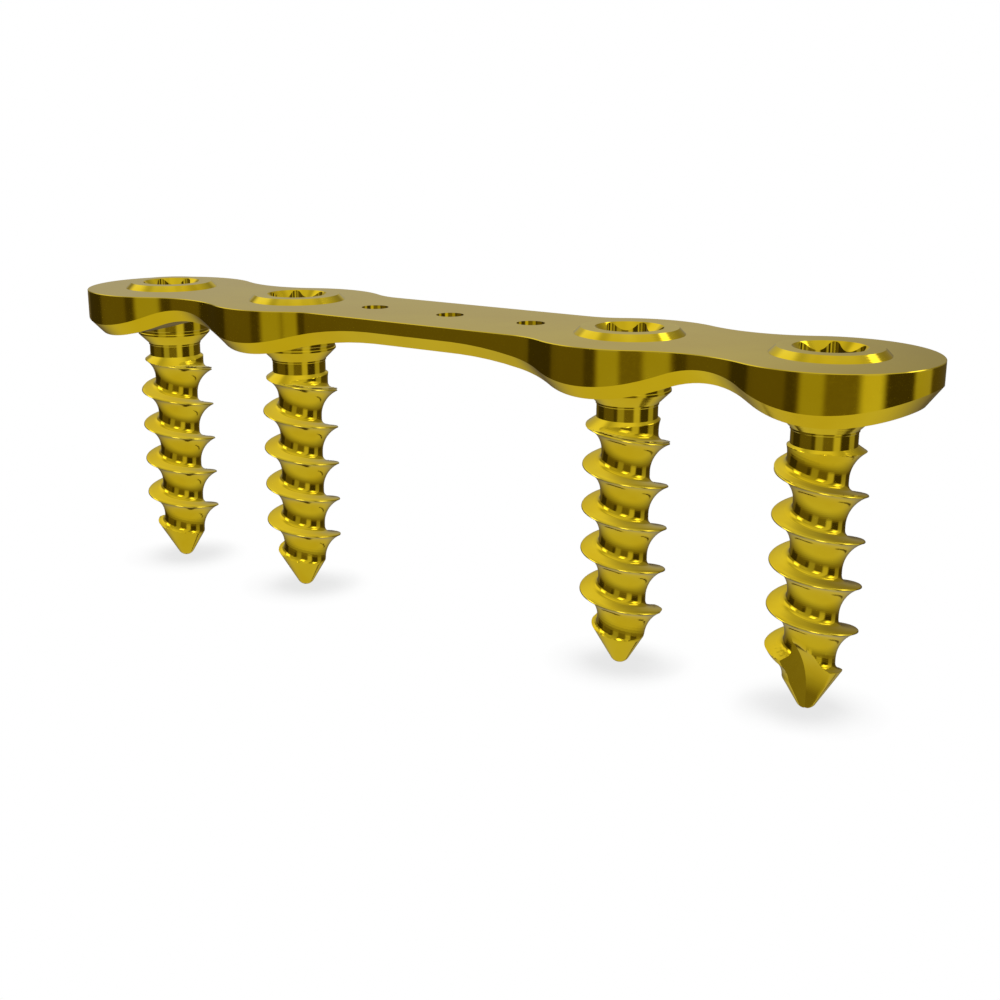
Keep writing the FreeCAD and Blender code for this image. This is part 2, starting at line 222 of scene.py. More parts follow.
def screwColumns(sizes):
    # Angles round the screw, closer together across the flute, with each end of the flute twice:
    # once as an uncut angle and once as a cut one.
    start, end = sizes["fluteAngle"], sizes["fluteAngle"] + sizes["fluteSpan"]
    even = np.linspace(0, 360, sizes["columns"])
    close = np.linspace(start, end, sizes["fluteColumns"])
    angle = np.unique(np.round(np.concatenate([even, close]), 6))
    first, last = (int(np.argmin(np.abs(angle - wall))) for wall in (start, end))
    angle = np.insert(angle, [first, last], angle[[first, last]])
    number = np.arange(len(angle))
    return angle, (number > first) & (number < last + 2)


def fluteReach(angle, height, cut, sizes):
    # How far out metal is left where the flute cuts: its flat side's distance from the axis over the
    # cosine of the angle from it, and above the flat the cutter's circle, which curves outward.
    cutter, uncut = sizes["fluteRadius"], sizes["uncutReach"]
    rise = height + sizes["fluteStart"]
    onArc = np.clip(rise, 0, cutter)
    hollow = sizes["fluteWeb"] + cutter - np.sqrt(cutter**2 - onArc**2)
    hollow = np.where(rise >= cutter, uncut, hollow)
    off = np.radians(angle - sizes["fluteAngle"])
    return np.where(cut, hollow / np.maximum(np.cos(off), 1e-4), uncut)


def conePoint(sizes):
    # How far down the tip's cone would end in a point: at its ball's centre, plus the ball's radius
    # over the sine of the cone's half angle.
    slant = math.radians(sizes["tipAngle"])
    return sizes["length"] - sizes["tipRadius"] + sizes["tipRadius"] / math.sin(slant)


def turnedReach(height, sizes):
    # The turned blank's radius at a height: the neck, the start chamfer that widens evenly, the crest,
    # and the tip's cone, as wide as the tangent of its half angle times the height above its point.
    down = -height
    neck, crest = sizes["neckRadius"], sizes["crestRadius"]
    chamfer = neck + (down - sizes["threadStart"]) * ((crest - neck) / sizes["startChamfer"])
    reach = np.where(down < sizes["threadStart"], neck, np.minimum(chamfer, crest))
    cone = (conePoint(sizes) - down) * math.tan(math.radians(sizes["tipAngle"]))
    return np.minimum(reach, np.maximum(cone, 0))


def grooveAt(angle, height, sizes):
    # The groove's radius at an angle and a height: the height below the nearest crest above it, which
    # sinks by a pitch in each turn, looked up in the section of one pitch, plus the run-out's climb.
    depth, space = threadSpace(sizes)
    turns = (angle - sizes["firstAngle"]) / 360
    below = (-sizes["firstCrest"] - height) / sizes["pitch"] - turns
    depth, space = np.append(depth, sizes["pitch"]), np.append(space, space[0])
    groove = np.interp((below % 1) * sizes["pitch"], depth, space)
    return groove + sizes["runOut"] * np.maximum(-turns - np.floor(below), 0)


def creaseHeights(sizes):
    # Heights at which the turned blank has an edge, the neck's end, the start chamfer's and the tip's
    # cone, with closer rows where the thread runs into the chamfer and into the cone.
    start = sizes["threadStart"]
    cone = conePoint(sizes) - sizes["crestRadius"] / math.tan(math.radians(sizes["tipAngle"]))
    neck = start + np.array(sizes["neckRows"])
    chamfer = np.linspace(start, start + sizes["startChamfer"], sizes["chamferRows"])
    first = chamfer[-1] + np.array(sizes["firstRows"])
    tip = np.linspace(cone, cone + sizes["coneReach"], sizes["coneRows"])
    return -np.concatenate([neck, chamfer, first, tip])


def headRows(angle, sizes):
    # Rows of radius and height over the angle, turned apart from the socket's lobes: the socket's
    # floor and wall, its countersink at 45 degrees, the head's face, bevel and seat, the collar with
    # its groove, and the cone and the step down to the neck.
    ones = np.ones(len(angle))
    star = starRadius(angle, sizes)
    mouth, rise = sizes["mouthRadius"], sizes["headRise"]
    floor = rise - sizes["socketDepth"]
    rim = rise - (mouth - star)
    rows = [(0 * ones, floor * ones), (star / 2, floor * ones)]
    for share in np.linspace(0, 1, sizes["wallRows"]):
        rows.append((star, floor + (rim - floor) * share))
    for share in sizes["sinkShares"]:
        rows.append((star + (mouth - star) * share, rim + (rise - rim) * share))
    collar, collarDown = sizes["collarRadius"], sizes["collarBottom"]
    grooved, slant = collar - sizes["grooveDepth"], sizes["grooveSlant"]
    step = sizes["stepRadius"]
    coneDown = collarDown + collar - step
    stepDown = coneDown + sizes["stepHeight"]
    turned = [
        (sizes["faceRing"], rise),
        (sizes["faceRadius"], rise),
        (sizes["headRadius"], 0),
        (collar, -sizes["seatDepth"]),
        (collar, -sizes["grooveTop"]),
        (grooved, -sizes["grooveTop"] - slant),
        (grooved, -sizes["grooveBottom"] + slant),
        (collar, -sizes["grooveBottom"]),
        (collar, -collarDown),
    ]
    turned += [(collar - inward, -collarDown - inward) for inward in sizes["coneRings"]]
    turned += [
        (step, -coneDown),
        (step, -stepDown),
        (sizes["neckRadius"], -stepDown - sizes["stepSlant"]),
    ]
    return rows + [(reach * ones, height * ones) for reach, height in turned]


def threadRows(angle, cut, sizes):
    # Rows down the thread: the section of one pitch for each winding, sunk by a pitch over each turn of
    # the angle, with the level rows of the blank's edges sorted in by height in each column. A row's
    # radius is the smallest of the groove's, the turned blank's and the flute's.
    count = len(angle)
    depth, space = threadSpace(sizes)
    winds = np.arange(sizes["winds"]) - sizes["windsAbove"]
    lead = (angle[None, :] - sizes["firstAngle"]) / 360 + winds[:, None]
    crest = -sizes["firstCrest"] - sizes["pitch"] * lead
    height = (crest[:, None, :] - depth[None, :, None]).reshape(-1, count)
    climb = sizes["runOut"] * np.maximum(-lead, 0)
    groove = (space[None, :, None] + climb[:, None, :]).reshape(-1, count)
    top = -sizes["threadStart"] + sizes["leadIn"]
    ball = sizes["tipRadius"]
    bottom = ball - sizes["length"] - ball * math.sin(math.radians(sizes["tipAngle"]))
    height = np.clip(height, bottom, top)
    crease = creaseHeights(sizes)[:, None] * np.ones(count)
    height = np.concatenate([height, crease])
    groove = np.concatenate([groove, grooveAt(angle, crease, sizes)])
    order = np.argsort(-height, 0, kind="stable")
    height, groove = np.take_along_axis(height, order, 0), np.take_along_axis(groove, order, 0)
    reach = np.minimum(groove, turnedReach(height, sizes))
    return list(zip(np.minimum(reach, fluteReach(angle, height, cut, sizes)), height))


def tipRows(angle, cut, sizes):
    # Rows down the ball at the tip, which has its radius times the cosine of the angle below level,
    # and as far below its centre its radius times the sine.
    ball = sizes["tipRadius"]
    rows = []
    for turn in np.radians(np.linspace(sizes["tipAngle"], 90, sizes["ballRows"])):
        height = (ball - sizes["length"] - ball * math.sin(turn)) * np.ones(len(angle))
        reach = fluteReach(angle, height, cut, sizes)
        rows.append((np.minimum(ball * math.cos(turn), reach), height))
    return rows


def screwSurface(sizes):
    # The whole screw as one grid over the angle, from the socket's floor over the head and down to the
    # tip: a point is at its row's radius times the cosine and the sine of the angle, and its height.
    angle, cut = screwColumns(sizes)
    rows = headRows(angle, sizes) + threadRows(angle, cut, sizes) + tipRows(angle, cut, sizes)
    radius = np.array([row[0] for row in rows])
    height = np.array([row[1] for row in rows])
    turn = np.radians(angle)
    points = np.stack([radius * np.cos(turn), radius * np.sin(turn), height], -1)
    crest = sizes["crestRadius"]
    # the crests' outer edge and the face's edge: film wear and a painted highlight line
    onCrest = ease(radius, crest - sizes["wearAndSheenDepth"], crest) * (height < -sizes["threadStart"])
    onFace = np.isclose(radius, sizes["faceRadius"]) * (height > 0) * sizes["faceWearAndSheen"]
    return points.reshape(-1, 3), gridFaces(*radius.shape), np.maximum(onCrest, onFace).ravel()


def makeScrews(material):
    # The same screw at each place, turned about its own axis.
    points, faces, wearAndSheen = screwSurface(screwSizes)
    faceList = faces.tolist()
    made = []
    for node, (across, turn) in screwSizes["places"].items():
        cos, sin = math.cos(math.radians(turn)), math.sin(math.radians(turn))
        spin = np.array([[cos, sin, 0], [-sin, cos, 0], [0, 0, 1]])
        screw = makePiece(node + "_form", points @ spin + [across, 0, 0], faceList, wearAndSheen)
        screw.data.materials.append(material)
        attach(screw, "root")
        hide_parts(node)
        made.append(screw)
    print("screws:", [len(screw.data.polygons) for screw in made])
    return made


plateSizes = {
    # outline: lobes round the screws, necks between two of them, and the waist with its fillets
    "innerScrew": 6.70,
    "outerScrew": 13.03,
    "lobe": 3.11,
    "neck": 3.50,
    "waist": 2.33,
    "fillet": 2.14,
    # underside: a flat web, and crests that the bone bears on
    "web": 0.87,
    "webHalf": 1.55,
    "crest": 1.57,
    "crestRadius": 6.08,
    "crestShift": 0.79,
    # edges: the chamfer round the underside and the broken edge round the top
    "chamfer": 0.44,
    "edge": 0.02,
    "edgeHold": 3,  # a row of points this many edges down keeps the wall's shading even
    # holes
    "holePitch": 3.15,
    "holeRadius": 0.46,
    "mouthRadius": 1.706,
    "boreRadius": 1.37,
    "seatDepth": 0.40,
    # points
    "arcStep": 3.0,  # degrees
    "straightPoints": 8,
    "screwRing": 96,
    "holeRing": 64,
    "fillReach": (15.6, 2.6),
    "fillStep": (0.2, 0.4),
    "fillGap": 0.08,
}


def arcPoints(centre, radius, start, end, step):
    # Points along an arc, at the radius times the cosine and sine of each angle from one to another
    # in degrees, and the directions out of its centre.
    count = max(2, int(abs(end - start) / step) + 1)
    turn = np.radians(np.linspace(start, end, count))
    out = np.stack([np.cos(turn), np.sin(turn)], 1)
    return np.array(centre) + radius * out, out


def plateOutline(sizes):
    # A quarter of the outline from the end to the middle, as arcs that touch each other, then mirrored
    # twice into one closed curve, with the outward direction at each point.
    lobe, neck, waist, fillet = (sizes[key] for key in ("lobe", "neck", "waist", "fillet"))
    inner, outer, step = sizes["innerScrew"], sizes["outerScrew"], sizes["arcStep"]
    half, middle = (outer - inner) / 2, (inner + outer) / 2
    neckUp = math.sqrt((lobe + neck) ** 2 - half**2)
    neckTilt = math.degrees(math.atan2(neckUp, half))
    filletUp = waist + fillet
    back = math.sqrt((lobe + fillet) ** 2 - filletUp**2)
    filletTilt = math.degrees(math.atan2(filletUp, back))
    runs = [
        (arcPoints((outer, 0), lobe, 0, 180 - neckTilt, step), 1),
        (arcPoints((middle, neckUp), neck, 360 - neckTilt, 180 + neckTilt, step), -1),
        (arcPoints((inner, 0), lobe, neckTilt, 180 - filletTilt, step), 1),
        (arcPoints((inner - back, filletUp), fillet, 360 - filletTilt, 270, step), -1),
    ]
    points = [run[0][0][:-1] for run in runs]
    outward = [run[0][1][:-1] * run[1] for run in runs]
    straight = np.linspace(inner - back, 0, sizes["straightPoints"])
    points.append(np.stack([straight, np.full(len(straight), waist)], 1))
    outward.append(np.tile([0.0, 1.0], (len(straight), 1)))
    quarter, facing = np.concatenate(points), np.concatenate(outward)
    flipX, flipY = np.array([-1, 1]), np.array([1, -1])
    upper = np.concatenate([quarter, (quarter * flipX)[::-1][1:]])
    upperFacing = np.concatenate([facing, (facing * flipX)[::-1][1:]])
    whole = np.concatenate([upper, (upper * flipY)[::-1][1:-1]])
    return whole, np.concatenate([upperFacing, (upperFacing * flipY)[::-1][1:-1]])


def underside(across, sizes):
    # Height of the underside at a distance along the plate: a flat web, an arch, a round crest at the
    # inner screw, an arch at the neck and a round crest past the outer screw, all touching. A round
    # stretch is its centre's height, plus or minus the root of its radius squared less the square of
    # the distance from its centre.
    x = np.abs(across)
    web, bend = sizes["web"], sizes["crestRadius"]
    rise = sizes["crest"] - web
    inner, outer = sizes["innerScrew"], sizes["outerScrew"] + sizes["crestShift"]
    span, reach = inner - sizes["webHalf"], (outer - inner) / 2
    waistArch = (span**2 + rise**2) / (2 * rise) - bend
    neckArch = (reach**2 + rise**2) / (2 * rise) - bend
    middle = (inner + outer) / 2
    touchWaist = sizes["webHalf"] + span * waistArch / (waistArch + bend)
    touchNeck = reach * neckArch / (neckArch + bend)

    def arch(centre, radius):
        return -web - radius + np.sqrt(np.maximum(radius**2 - (x - centre) ** 2, 0))

    def crest(centre):
        return bend - sizes["crest"] - np.sqrt(np.maximum(bend**2 - (x - centre) ** 2, 0))

    bands = [
        x <= sizes["webHalf"],
        x <= touchWaist,
        x <= middle - touchNeck,
        x <= middle + touchNeck,
    ]
    forms = [
        np.full_like(x, -web),
        arch(sizes["webHalf"], waistArch),
        crest(inner),
        arch(middle, neckArch),
    ]
    return np.select(bands, forms, crest(outer))


def ring(centre, radius, count):
    # A circle of points, at the radius times the cosine and sine of even angles.
    turn = np.linspace(0, 2 * math.pi, count, endpoint=False)
    return np.stack([centre + radius * np.cos(turn), radius * np.sin(turn)], 1)


def holeRings(screwRadius, sizes):
    # A circle of points at each screw, with the radius asked for, and one at each small hole.
    inner, outer, pitch = sizes["innerScrew"], sizes["outerScrew"], sizes["holePitch"]
    screws = [ring(centre, screwRadius, sizes["screwRing"]) for centre in (-outer, -inner, inner, outer)]
    small = [ring(centre, sizes["holeRadius"], sizes["holeRing"]) for centre in (-pitch, 0.0, pitch)]
    return screws, small


def insideLoops(points, loops):
    # A point is in the metal if a line from it crosses the outline and the holes an odd number of
    # times in all.
    inside = np.zeros(len(points), bool)
    across, up = points[:, None, 0], points[:, None, 1]
    for start in loops:
        end = np.roll(start, -1, 0)
        above = (start[None, :, 1] > up) != (end[None, :, 1] > up)
        drop = end[:, 1] - start[:, 1]
        drop = np.where(drop == 0, 1e-12, drop)
        crossing = start[:, 0] + (up - start[:, 1]) * (end[:, 0] - start[:, 0]) / drop
        inside ^= (np.sum(above & (across < crossing), 1) % 2).astype(bool)
    return inside


def flatFill(loops, inner):
    # Triangles that fill the first loop except for the others, with extra points inside.
    points = np.concatenate(loops + [inner])
    starts = np.cumsum([0] + [len(loop) for loop in loops])
    edges = []
    for loop, start in zip(loops, starts):
        number = np.arange(len(loop))
        edges.append(np.stack([number, (number + 1) % len(loop)], 1) + start)
    corners = [Vector(point) for point in points.tolist()]
    filled = delaunay_2d_cdt(corners, np.concatenate(edges).tolist(), [], 0, 1e-6)
    flat = np.array([tuple(corner) for corner in filled[0]])
    faces = np.array([face for face in filled[2]])
    return flat, faces[insideLoops(flat[faces].mean(1), loops)]


def band(levels):
    # Quads between closed loops that lie one below another.
    stack = np.stack([np.concatenate([level, level[:1]]) for level in levels])
    return stack.reshape(-1, 3), gridFaces(*stack.shape[:2])


def at(points, height):
    # Flat points with one height for all or one for each.
    return np.column_stack([points, np.broadcast_to(height, len(points))])


def onUnderside(points, sizes):
    # Flat points, each at the underside's height there.
    return at(points, underside(points[:, 0], sizes))


def plateWalls(outline, rim, inset, sizes):
    # The outside, from the broken top edge down to the chamfer, then each screw hole from its
    # countersink's mouth down, and each small hole.
    foot = underside(outline[:, 0], sizes) + sizes["chamfer"]
    outside = [
        at(rim, 0),
        at(outline, -sizes["edge"]),
        at(outline, -sizes["edgeHold"] * sizes["edge"]),
        at(outline, foot / 2),
        at(outline, foot),
        onUnderside(inset, sizes),
    ]
    parts = [band(outside)]
    mouths = holeRings(sizes["mouthRadius"], sizes)[0]
    bores, small = holeRings(sizes["boreRadius"], sizes)
    for mouth, bore in zip(mouths, bores):
        parts.append(band([at(mouth, 0), at(bore, -sizes["seatDepth"]), onUnderside(bore, sizes)]))
    for bore in small:
        parts.append(band([at(bore, 0), onUnderside(bore, sizes)]))
    return parts


def plateFaces(rim, inset, sizes):
    # The top and the underside, each filled between its outline and its holes. The underside gets
    # evenly spaced points that follow its crests and arches.
    mouths, small = holeRings(sizes["mouthRadius"], sizes)
    top, topFaces = flatFill([rim] + mouths + small, np.zeros((0, 2)))
    bores, small = holeRings(sizes["boreRadius"], sizes)
    loops = [inset] + bores + small
    along, across = (
        np.arange(-reach, reach + step / 2, step)
        for reach, step in zip(sizes["fillReach"], sizes["fillStep"])
    )
    inner = np.stack(np.meshgrid(along, across), -1).reshape(-1, 2)
    inner = inner[insideLoops(inner, loops)]
    clear = np.concatenate(loops)
    gap = np.min(np.hypot(*(inner[:, None, axis] - clear[None, :, axis] for axis in (0, 1))), 1)
    low, lowFaces = flatFill(loops, inner[gap > sizes["fillGap"]])
    return [(at(top, 0), topFaces), (onUnderside(low, sizes), lowFaces)]


def makePlate(material):
    # The walls and the faces as one mesh, which makePiece closes where their points meet.
    sizes = plateSizes
    outline, outward = plateOutline(sizes)
    inset, rim = outline - outward * sizes["chamfer"], outline - outward * sizes["edge"]
    parts = plateWalls(outline, rim, inset, sizes) + plateFaces(rim, inset, sizes)
    points, faceList, start = [], [], 0
    for partPoints, partFaces in parts:
        points.append(partPoints)
        faceList += (partFaces + start).tolist()
        start += len(partPoints)
    points = np.concatenate(points)
    # the top's broken edge: film wear and a painted highlight line
    wearAndSheen = np.isclose(points[:, 2], -sizes["edge"]).astype(float)
    plate = makePiece("bone_plate_form", points, faceList, wearAndSheen)
    plate.data.materials.append(material)
    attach(plate, "root")
    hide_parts("bone_plate")
    print("plate:", len(plate.data.polygons))
    return plate


goldSizes = {
    "screwPolish": {
        "gold": (0.93, 0.675, 0.022, 1),
        "deepGold": (0.87, 0.60, 0.012, 1),
        # pale gold of edge wear, which also paints a highlight line along the edges
        "wearSheenGold": (0.96, 0.76, 0.08, 1),
        "patch": 700.0,  # tone patches to a metre, so about 1.4 mm across
        "grain": 9000.0,
        "lines": 5200.0,  # turning marks to a metre
        "lineShare": 0.6,
        "roughness": (0.06, 0.13),
        "relief": 0.00000035,  # metres
    },
    "platePolish": {
        "gold": (0.93, 0.665, 0.014, 1),
        "deepGold": (0.86, 0.585, 0.006, 1),
        # pale gold of edge wear, which also paints a highlight line along the edges
        "wearSheenGold": (0.96, 0.76, 0.08, 1),
        "patch": 260.0,
        "grain": 7000.0,
        "lines": 3000.0,
        "lineShare": 0.15,
        "roughness": (0.05, 0.13),
        "relief": 0.0000003,
    },
}


def addNode(tree, kind, values=(), links=()):
    # A node with its numbers set by socket name and its inputs joined to other nodes' outputs.
    node = tree.nodes.new(kind)
    for name, value in values:
        node.inputs[name].default_value = value
    for name, output in links:
        tree.links.new(output, node.inputs[name])
    return node


def addBlend(tree, share, first, second):
    # A colour between two others, which are each a plain colour or another node's output.
    node = tree.nodes.new("ShaderNodeMix")
    node.data_type = "RGBA"
    tree.links.new(share, node.inputs[0])
    for socket, value in ((node.inputs[6], first), (node.inputs[7], second)):
        if isinstance(value, tuple):
            socket.default_value = value
        else:
            tree.links.new(value, socket)
    return node.outputs[2]


def makeFilm():
    # The anodised film that plate and screws share: broad patches of tone, a fine polishing grain,
    # faint marks of the tool round the upright axis, and where edges have been thinned by wear, a
    # mask that also paints a highlight line along those edges.
    tree = bpy.data.node_groups.new("anodisedFilm", "ShaderNodeTree")
    for name in ("Patch Scale", "Grain Scale", "Line Scale", "Line Share"):
        tree.interface.new_socket(name, in_out="INPUT", socket_type="NodeSocketFloat")
    for name in ("Patch", "Grain", "Relief", "Wear Sheen"):
        tree.interface.new_socket(name, in_out="OUTPUT", socket_type="NodeSocketFloat")
    given, made = tree.nodes.new("NodeGroupInput"), tree.nodes.new("NodeGroupOutput")
    place = tree.nodes.new("ShaderNodeTexCoord").outputs["Object"]
    patch = addNode(
        tree, "ShaderNodeTexNoise", [("Detail", 3.0), ("Roughness", 0.55)],
        [("Vector", place), ("Scale", given.outputs["Patch Scale"])],
    )
    grain = addNode(
        tree, "ShaderNodeTexNoise", [("Detail", 2.0), ("Roughness", 0.6)],
        [("Vector", place), ("Scale", given.outputs["Grain Scale"])],
    )
    lines = addNode(
        tree, "ShaderNodeTexWave", [("Distortion", 1.5), ("Detail", 2.0), ("Detail Scale", 3.0)],
        [("Vector", place), ("Scale", given.outputs["Line Scale"])],
    )
    lines.bands_direction = "Z"
    share = given.outputs["Line Share"]
    relief = addNode(
        tree, "ShaderNodeMix", [],
        [("Factor", share), ("A", grain.outputs["Fac"]), ("B", lines.outputs["Fac"])],
    )
    wearAndSheen = tree.nodes.new("ShaderNodeAttribute")
    wearAndSheen.attribute_name = "wearAndSheen"
    edges = [(0, wearAndSheen.outputs["Fac"]), (1, patch.outputs["Fac"])]
    wearSheen = addNode(tree, "ShaderNodeMath", [], edges)
    wearSheen.operation = "MULTIPLY"
    for name, output in (
        ("Patch", patch.outputs["Fac"]),
        ("Grain", grain.outputs["Fac"]),
        ("Relief", relief.outputs["Result"]),
        ("Wear Sheen", wearSheen.outputs[0]),
    ):
        tree.links.new(output, made.inputs[name])
    return tree


def makeGold(name, film):
    # Polished metal whose colour goes from deep gold to gold with the tone patches and to pale gold
    # along thinned edges, partly film wear and partly a painted highlight line, and whose gloss and
    # relief follow the grain.
    sizes = goldSizes[name]
    material = bpy.data.materials.new(name)
    material.use_nodes = True
    tree = material.node_tree
    shader = tree.nodes["Principled BSDF"]
    shader.inputs["Metallic"].default_value = 1.0
    shader.inputs["Specular Tint"].default_value = (1.0, 0.96, 0.68, 1)
    surface = tree.nodes.new("ShaderNodeGroup")
    surface.node_tree = film
    for socket, key in (
        ("Patch Scale", "patch"),
        ("Grain Scale", "grain"),
        ("Line Scale", "lines"),
        ("Line Share", "lineShare"),
    ):
        surface.inputs[socket].default_value = sizes[key]
    tone = addNode(
        tree, "ShaderNodeMapRange", [("From Min", 0.35), ("From Max", 0.65)],
        [("Value", surface.outputs["Patch"])],
    )
    colour = addBlend(tree, tone.outputs["Result"], sizes["deepGold"], sizes["gold"])
    # pale gold along the edges: film wear and a painted highlight line
    colour = addBlend(tree, surface.outputs["Wear Sheen"], colour, sizes["wearSheenGold"])
    tree.links.new(colour, shader.inputs["Base Color"])
    low, high = sizes["roughness"]
    haze = addNode(
        tree, "ShaderNodeMapRange",
        [("From Min", 0.3), ("From Max", 0.7), ("To Min", low), ("To Max", high)],
        [("Value", surface.outputs["Grain"])],
    )
    tree.links.new(haze.outputs["Result"], shader.inputs["Roughness"])
    bump = addNode(
        tree, "ShaderNodeBump", [("Distance", sizes["relief"])],
        [("Height", surface.outputs["Relief"])],
    )
    tree.links.new(bump.outputs["Normal"], shader.inputs["Normal"])
    return material


studioSizes = {
    # camera
    "unit": 0.8375,  # the distance and the target are in units of this many millimetres
    "azimuth": 34.97,
    "elevation": 15.64,
    "roll": -0.07,
    "distance": 57.18,
    "target": (0.689, 0.0, -7.271),
    # the lens and its axis, in pixels of a square frame
    "focal": 1410.9,
    "centreX": 464.6,
    "centreY": 495.1,
    "frame": 1000,
    "sensor": 36.0,
    "clip": (0.001, 10),  # metres
    # floor
    "floorDown": 10.71,
    "floorHalf": 1200,
    "shadowReach": 2.0,
    # from how much of the floor's sky is open to how bright the floor is
    "shadowRange": (0.70, 0.97, 0.80, 1.0),
}


def makeCamera(sizes):
    # The camera stands back from its target by the distance along the azimuth and the elevation, rolled
    # a little, and its shift brings the lens's axis to its own place in the frame.
    turn, lift, roll = (math.radians(sizes[key]) for key in ("azimuth", "elevation", "roll"))
    level = math.cos(lift)
    back = Vector((math.sin(turn) * level, -math.cos(turn) * level, math.sin(lift)))
    side = back.cross(Vector((0, 0, -1))).normalized()
    up = back.cross(side)
    right = side * math.cos(roll) + up * math.sin(roll)
    above = up * math.cos(roll) - side * math.sin(roll)
    place = (Vector(sizes["target"]) + back * sizes["distance"]) * sizes["unit"] * millimetre
    data = bpy.data.cameras.new("camera")
    camera = bpy.data.objects.new("camera", data)
    bpy.context.scene.collection.objects.link(camera)
    turned = Matrix((right, above, back)).transposed().to_4x4()
    camera.matrix_world = Matrix.Translation(place) @ turned
    data.sensor_width = sizes["sensor"]
    data.lens = sizes["focal"] * sizes["sensor"] / sizes["frame"]
    data.shift_x = (sizes["frame"] / 2 - sizes["centreX"]) / sizes["frame"]
    data.shift_y = (sizes["centreY"] - sizes["frame"] / 2) / sizes["frame"]
    data.clip_start, data.clip_end = sizes["clip"]
    bpy.context.scene.camera = camera


lightSizes = {
    "domeRadius": 1500.0,
    "domeStep": 1.5,  # degrees
    "darkTint": (1.0, 0.83, 0.5, 1),  # the room's darkest walls are a little brown
    "tintLevels": (0.06, 0.3),  # between these levels the tint goes over to white
    # levels of the pale floor far below, the wall's foot, the wall and the ceiling, and between
    # which elevations one goes over to the next
    "rise": [(0.54, -90, -90), (0.10, -58, -12), (0.24, -9, 5), (0.58, 20, 65)],
    # each soft box: left and right azimuth, low and high elevation, edge softness, low and high level
    "boxes": {
        "farDark": (-1, 38, -22, 2, 4, 0.04, 0.12),
        "leftDark": (248, 286, -24, -2, 4, 0.03, 0.04),
        "frontDark": (186, 240, -22, 1, 6, 0.10, 0.12),
        "sideDark": (67, 101, -22, -1, 3, 0.04, 0.05),
        "betweenDark": (127, 161, -20, -4, 4, 0.14, 0.14),
        "narrowStrip": (40, 66, -24, 40, 4, 0.24, 0.80),
        "rightBox": (58, 86, 1, 34, 5, 0.95, 1.05),
        "highStrip": (30, 44, 32, 54, 3, 1.60, 2.40),
        "wideStrip": (103, 127, -24, 60, 5, 0.50, 0.66),
        "frontRight": (130, 158, -3, 38, 5, 1.00, 1.05),
        "frontStrip": (162, 187, -26, 50, 4, 0.30, 0.45),
        "frontFill": (184, 214, 0, 34, 6, 0.40, 0.50),
        "frontLeft": (218, 249, 1, 46, 5, 1.00, 1.05),
        "lampRight": (134, 152, 14, 30, 3, 2.80, 2.80),
        "lampLeft": (225, 243, 18, 34, 3, 2.80, 2.80),
        "lampSide": (64, 80, 12, 28, 3, 2.40, 2.40),
        "leftHigh": (252, 318, 24, 58, 8, 0.90, 0.80),
        "backLeft": (296, 342, -6, 60, 8, 0.30, 0.85),
        "overhead": (235, 415, 56, 84, 8, 0.34, 0.86),
        "overheadFront": (95, 215, 74, 88, 5, 0.56, 0.72),
        "frontLine": (190, 202, -22, -2, 3, 0.05, 0.06),
        "floorLineRight": (9, 17, -66, -42, 2, 0.06, 0.06),
        "floorLineLeft": (307, 316, -66, -42, 2, 0.06, 0.06),
    },
}


def lightLevel(azimuth, elevation, sizes):
    # The studio's light by direction: bands that go over into each other from the floor up to the
    # ceiling, then soft boxes laid over them in turn, each of which brings the light to its own level
    # by the product of how far inside its sides and its ends the direction is.
    light = np.full_like(azimuth, sizes["rise"][0][0])
    for level, start, end in sizes["rise"][1:]:
        light = light + (level - light) * ease(elevation, start, end)
    for left, right, low, high, soft, lowLevel, highLevel in sizes["boxes"].values():
        off = np.abs((azimuth - (left + right) / 2 + 180) % 360 - 180)
        half = (right - left) / 2
        across = 1 - ease(off, half - soft, half + soft)
        upper = 1 - ease(elevation, high - soft, high + soft)
        along = ease(elevation, low - soft, low + soft) * upper
        share = np.clip((elevation - low) / (high - low), 0, 1)
        level = lowLevel + (highLevel - lowLevel) * share
        light = light + (level - light) * across * along
    return light


def makeGlow(sizes):
    # Light as strong as the ball's own attribute says, with a brown tint where it is darkest, and
    # plain white to the camera.
    glow = bpy.data.materials.new("studioLight")
    glow.use_nodes = True
    tree = glow.node_tree
    tree.nodes.clear()
    light = tree.nodes.new("ShaderNodeAttribute")
    light.attribute_name = "light"
    seen = tree.nodes.new("ShaderNodeLightPath").outputs["Is Camera Ray"]
    dark, bright = sizes["tintLevels"]
    warmth = addNode(
        tree, "ShaderNodeMapRange", [("From Min", dark), ("From Max", bright)],
        [("Value", light.outputs["Fac"])],
    )
    tint = tree.nodes.new("ShaderNodeValToRGB")
    tint.color_ramp.elements[0].color = sizes["darkTint"]
    tree.links.new(warmth.outputs["Result"], tint.inputs[0])
    strength = addNode(
        tree, "ShaderNodeMix", [("B", 1.0)], [("Factor", seen), ("A", light.outputs["Fac"])]
    )
    shine = addNode(
        tree, "ShaderNodeEmission", [],
        [
            ("Color", addBlend(tree, seen, tint.outputs["Color"], (1, 1, 1, 1))),
            ("Strength", strength.outputs["Result"]),
        ],
    )
    addNode(tree, "ShaderNodeOutputMaterial", [], [("Surface", shine.outputs[0])])
    glow.cycles.emission_sampling = "NONE"  # rays find soft light by themselves, with less noise
    return glow


